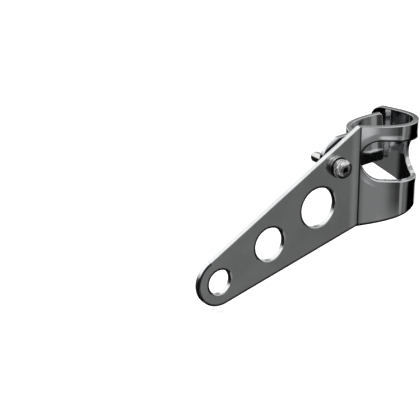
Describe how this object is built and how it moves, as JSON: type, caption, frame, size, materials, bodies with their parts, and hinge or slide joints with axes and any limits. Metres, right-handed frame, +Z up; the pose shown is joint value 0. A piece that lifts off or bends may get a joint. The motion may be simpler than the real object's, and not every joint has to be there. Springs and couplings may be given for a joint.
{
  "type": "headlight mounting bracket",
  "caption": "Chromed folded-sheet headlight bracket: tapering arm with bolt holes, a windowed loop round the fork tube, and a screw-drawn clamp jaw. Right-hand one of a mirrored pair.",
  "frame": {"origin": "on the axis of the fork tube that the loop goes round, at the height of the clamp screw", "axes": "+Z up along the fork tube, +X along the front plate towards the closed end of the loop, +Y from the front plate towards the back wall"},
  "size_m": [0.1167, 0.1051, 0.0819],
  "materials": {
    "chrome_sheet": "polished and chromed sheet steel",
    "chrome_jaw": "chromed sheet steel, a little less polished than the bracket",
    "plated_screw": "bright plated steel",
    "plated_washer": "bright plated steel"
  },
  "bodies": {
    "bracket": {"bracket": "chrome_sheet", "plain_washer": "plated_washer", "spring_washer": "plated_washer"},
    "screw": {"clamp_screw": "plated_screw"},
    "jaw": {"clamp_jaw": "chrome_jaw"}
  },
  "joints": [
    {"name": "screw_turn", "type": "hinge", "parent": "bracket", "child": "screw", "pos_m": [-0.02785, -0.02669, 0], "axis": [-0.6018, 0.7986, 0], "range_deg": [-720, 360]},
    {"name": "jaw_slide", "type": "slide", "parent": "bracket", "child": "jaw", "axis": [-0.6018, 0.7986, 0], "range_m": [-0.001, 0.002]}
  ],
  "couplings": [
    {"joint": "screw_turn", "follows": "jaw_slide", "rad_per_m": -6283.2}
  ]
}
